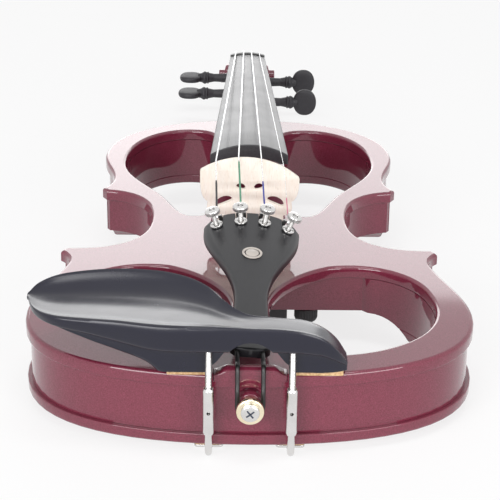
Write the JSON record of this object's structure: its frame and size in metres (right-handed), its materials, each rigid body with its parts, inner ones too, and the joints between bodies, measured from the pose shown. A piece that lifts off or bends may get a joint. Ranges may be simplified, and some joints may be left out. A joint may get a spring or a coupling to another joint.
{
  "type": "electric violin",
  "caption": "Hollow-rimmed electric violin with a skeleton body, arched fingerboard, bridge, screw-tuned tailpiece, clamped chin rest and turning pegs.",
  "frame": {"origin": "middle of the bounding box, on the plane of the scroll's lowest point", "axes": "+Y from the tail to the scroll, +X to the treble side, +Z out of the top plate towards the strings"},
  "size_m": [0.2088, 0.6038, 0.0879],
  "materials": {
    "lacquer": "high gloss maroon lacquer",
    "ebony": "satin black wood",
    "maple": "pale satin maple",
    "inlay": "pearl white",
    "nickel": "bright nickel plate",
    "brass": "turned brass",
    "steel": "wound steel",
    "black_plastic": "satin black",
    "cork": "cork",
    "cell": "metal case"
  },
  "bodies": {
    "g_peg": {"peg_g": "ebony"},
    "d_peg": {"peg_d": "ebony"},
    "a_peg": {"peg_a": "ebony"},
    "e_peg": {"peg_e": "ebony"},
    "g_screw": {"tuner_screw_g": "nickel"},
    "g_knob": {"tuner_knob_g": "nickel"},
    "g_lever": {"tuner_lever_g": "nickel"},
    "d_screw": {"tuner_screw_d": "nickel"},
    "d_knob": {"tuner_knob_d": "nickel"},
    "d_lever": {"tuner_lever_d": "nickel"},
    "a_screw": {"tuner_screw_a": "nickel"},
    "a_knob": {"tuner_knob_a": "nickel"},
    "a_lever": {"tuner_lever_a": "nickel"},
    "e_screw": {"tuner_screw_e": "nickel"},
    "e_knob": {"tuner_knob_e": "nickel"},
    "e_lever": {"tuner_lever_e": "nickel"},
    "left_foot": {"clamp_foot_left": "nickel", "clamp_cork_left": "cork"},
    "left_barrel": {"clamp_barrel_left": "nickel"},
    "right_foot": {"clamp_foot_right": "nickel", "clamp_cork_right": "cork"},
    "right_barrel": {"clamp_barrel_right": "nickel"},
    "volume": {"volume_knob": "black_plastic"},
    "tone": {"tone_knob": "black_plastic"},
    "switch": {"power_switch": "nickel"},
    "door": {"battery_door": "black_plastic"},
    "violin": {"tailpiece": "ebony", "tailpiece_inlay_ring": "inlay", "tailpiece_inlay_dot": "inlay", "tuner_collar_g": "nickel", "tuner_collar_d": "nickel", "tuner_collar_a": "nickel", "tuner_collar_e": "nickel", "top_plate": "lacquer", "rib_frame": "lacquer", "back_plate_lower": "lacquer", "back_plate_upper": "lacquer", "fingerboard": "ebony", "nut": "ebony", "neck": "lacquer", "bridge": "maple", "pickup": "steel", "string_g": "steel", "string_d": "steel", "string_a": "steel", "string_e": "steel", "saddle": "lacquer", "tailgut": "black_plastic", "end_button_bushing": "lacquer", "end_button": "brass", "end_button_screw": "nickel", "chin_rest": "black_plastic", "chin_rest_cork_left": "cork", "chin_rest_cork_right": "cork", "clamp_rod_left": "nickel", "clamp_rod_right": "nickel", "control_box": "black_plastic", "battery": "cell", "output_jack": "nickel", "phones_jack": "nickel"}
  },
  "joints": [
    {"name": "g_peg_turn", "type": "hinge", "parent": "violin", "child": "g_peg", "pos_m": [-0.012, 0.22638, 0.02404], "axis": [-1, 0, 0], "continuous": true},
    {"name": "d_peg_turn", "type": "hinge", "parent": "violin", "child": "d_peg", "pos_m": [-0.012, 0.26031, 0.0268], "axis": [-1, 0, 0], "continuous": true},
    {"name": "a_peg_turn", "type": "hinge", "parent": "violin", "child": "a_peg", "pos_m": [0.012, 0.24627, 0.02762], "axis": [1, 0, 0], "continuous": true},
    {"name": "e_peg_turn", "type": "hinge", "parent": "violin", "child": "e_peg", "pos_m": [0.012, 0.21245, 0.02186], "axis": [1, 0, 0], "continuous": true},
    {"name": "g_screw_travel", "type": "slide", "parent": "violin", "child": "g_screw", "axis": [-0.2651, -0.1964, 0.944], "range_m": [-0.0015, 0]},
    {"name": "g_knob_turn", "type": "hinge", "parent": "g_screw", "child": "g_knob", "pos_m": [-0.0161, -0.17942, 0.06748], "axis": [-0.2651, -0.1964, 0.944], "range_deg": [-1081, 1]},
    {"name": "g_lever_tilt", "type": "hinge", "parent": "violin", "child": "g_lever", "pos_m": [-0.01412, -0.17243, 0.06186], "axis": [0.9641, -0.0663, 0.257], "range_deg": [-0.2, 15.28], "deforming": ["string_g"]},
    {"name": "d_screw_travel", "type": "slide", "parent": "violin", "child": "d_screw", "axis": [-0.0417, -0.2063, 0.9776], "range_m": [-0.0015, 0]},
    {"name": "d_knob_turn", "type": "hinge", "parent": "d_screw", "child": "d_knob", "pos_m": [-0.00447, -0.17907, 0.06941], "axis": [-0.0417, -0.2063, 0.9776], "range_deg": [-1081, 1]},
    {"name": "d_lever_tilt", "type": "hinge", "parent": "violin", "child": "d_lever", "pos_m": [-0.0041, -0.172, 0.06355], "axis": [0.9991, -0.0205, 0.0383], "range_deg": [-0.2, 15.28], "deforming": ["string_d"]},
    {"name": "a_screw_travel", "type": "slide", "parent": "violin", "child": "a_screw", "axis": [0.1783, -0.2057, 0.9622], "range_m": [-0.0015, 0]},
    {"name": "a_knob_turn", "type": "hinge", "parent": "a_screw", "child": "a_knob", "pos_m": [0.00697, -0.17904, 0.06861], "axis": [0.1783, -0.2057, 0.9622], "range_deg": [-1081, 1]},
    {"name": "a_lever_tilt", "type": "hinge", "parent": "violin", "child": "a_lever", "pos_m": [0.00575, -0.17198, 0.06286], "axis": [0.9839, 0.0252, -0.1769], "range_deg": [-0.2, 15.28], "deforming": ["string_a"]},
    {"name": "e_screw_travel", "type": "slide", "parent": "violin", "child": "e_screw", "axis": [0.3948, -0.1948, 0.8979], "range_m": [-0.0015, 0]},
    {"name": "e_knob_turn", "type": "hinge", "parent": "e_screw", "child": "e_knob", "pos_m": [0.01822, -0.17934, 0.06508], "axis": [0.3948, -0.1948, 0.8979], "range_deg": [-1081, 1]},
    {"name": "e_lever_tilt", "type": "hinge", "parent": "violin", "child": "e_lever", "pos_m": [0.01544, -0.17236, 0.0598], "axis": [0.9187, 0.0708, -0.3886], "range_deg": [-0.2, 15.28], "deforming": ["string_e"]},
    {"name": "left_foot_travel", "type": "slide", "parent": "violin", "child": "left_foot", "axis": [0, -0.0343, 0.9994], "range_m": [-0.0056, 0]},
    {"name": "left_barrel_turn", "type": "hinge", "parent": "left_foot", "child": "left_barrel", "pos_m": [-0.018, -0.29391, 0.02359], "axis": [0, -0.0343, 0.9994], "range_deg": [-2881, 1]},
    {"name": "right_foot_travel", "type": "slide", "parent": "violin", "child": "right_foot", "axis": [0, -0.0343, 0.9994], "range_m": [-0.0056, 0]},
    {"name": "right_barrel_turn", "type": "hinge", "parent": "right_foot", "child": "right_barrel", "pos_m": [0.018, -0.29391, 0.02359], "axis": [0, -0.0343, 0.9994], "range_deg": [-2881, 1]},
    {"name": "volume_turn", "type": "hinge", "parent": "violin", "child": "volume", "pos_m": [0.0292, -0.15748, 0.01326], "axis": [0, 0.0343, -0.9994], "range_deg": [-140, 140]},
    {"name": "tone_turn", "type": "hinge", "parent": "violin", "child": "tone", "pos_m": [0.0292, -0.14049, 0.01384], "axis": [0, 0.0343, -0.9994], "range_deg": [-140, 140]},
    {"name": "switch_slide", "type": "slide", "parent": "violin", "child": "switch", "axis": [1, 0, 0], "range_m": [0, 0.003]},
    {"name": "battery_door_hinge", "type": "hinge", "parent": "violin", "child": "door", "pos_m": [-0.04225, -0.13889, 0.01095], "axis": [0, 0.9994, 0.0343], "range_deg": [0, 95]}
  ],
  "couplings": [
    {"joint": "g_knob_turn", "follows": "g_screw_travel", "rad_per_m": 12566},
    {"joint": "g_lever_tilt", "follows": "g_screw_travel", "rad_per_m": -175.44},
    {"joint": "d_knob_turn", "follows": "d_screw_travel", "rad_per_m": 12566},
    {"joint": "d_lever_tilt", "follows": "d_screw_travel", "rad_per_m": -175.44},
    {"joint": "a_knob_turn", "follows": "a_screw_travel", "rad_per_m": 12566},
    {"joint": "a_lever_tilt", "follows": "a_screw_travel", "rad_per_m": -175.44},
    {"joint": "e_knob_turn", "follows": "e_screw_travel", "rad_per_m": 12566},
    {"joint": "e_lever_tilt", "follows": "e_screw_travel", "rad_per_m": -175.44},
    {"joint": "left_barrel_turn", "follows": "left_foot_travel", "rad_per_m": 8976},
    {"joint": "right_barrel_turn", "follows": "right_foot_travel", "rad_per_m": 8976}
  ]
}
